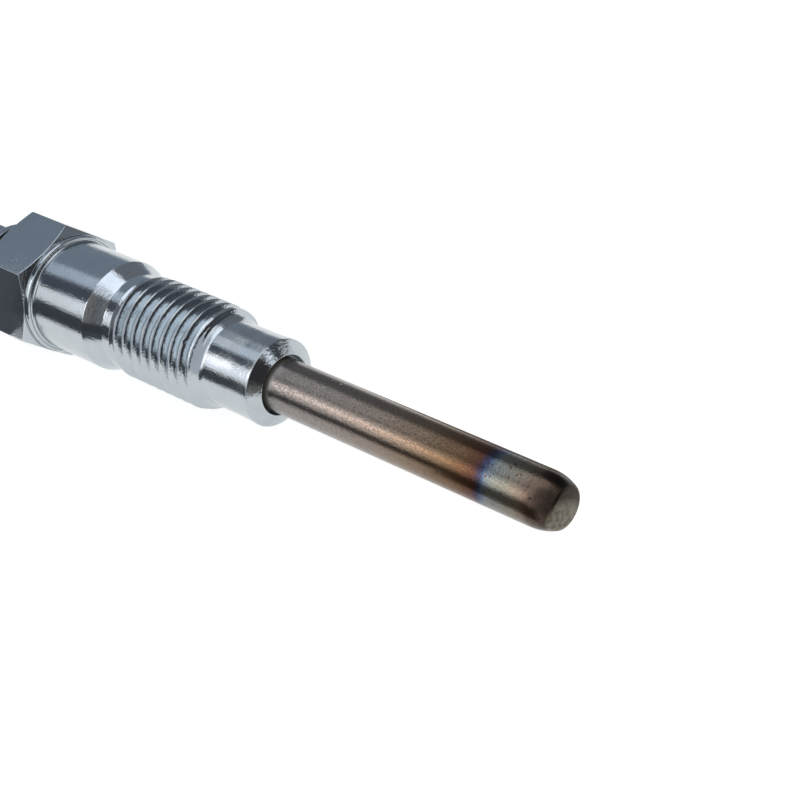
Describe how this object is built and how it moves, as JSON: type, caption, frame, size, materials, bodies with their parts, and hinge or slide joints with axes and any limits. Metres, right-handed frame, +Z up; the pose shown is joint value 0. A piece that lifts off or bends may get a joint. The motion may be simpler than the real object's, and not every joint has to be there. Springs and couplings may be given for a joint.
{
  "type": "glow plug",
  "caption": "Diesel engine glow plug: threaded steel body with wrench hexagon, conical sealing nose, slender closed heating rod and a screw terminal at the rear.",
  "frame": {"origin": "on the plug's axis, at the rim of the nose where the sealing cone begins", "axes": "+X along the axis toward the heating tip, +Z up, one flat of the hexagon facing down (-Z)"},
  "size_m": [0.0776, 0.0138, 0.012],
  "materials": {
    "zinc_plated_steel": "bright zinc plating with a faint blue cast",
    "heater_alloy": "ground, heat-tinted toward the tip",
    "magnesia": "packed powder",
    "heating_wire": "drawn wire",
    "control_wire": "drawn wire",
    "terminal_steel": "bright zinc plating",
    "seal_rubber": "matte",
    "bush_resin": "moulded, satin"
  },
  "bodies": {
    "root": {"housing": "zinc_plated_steel", "heater_tube": "heater_alloy", "magnesia_core": "magnesia", "heating_coil": "heating_wire", "control_coil": "control_wire", "centre_electrode": "terminal_steel", "tube_seal": "seal_rubber", "sealing_ring": "seal_rubber", "insulating_bush": "bush_resin", "terminal_washer": "terminal_steel", "terminal_nut": "terminal_steel"}
  },
  "joints": []
}
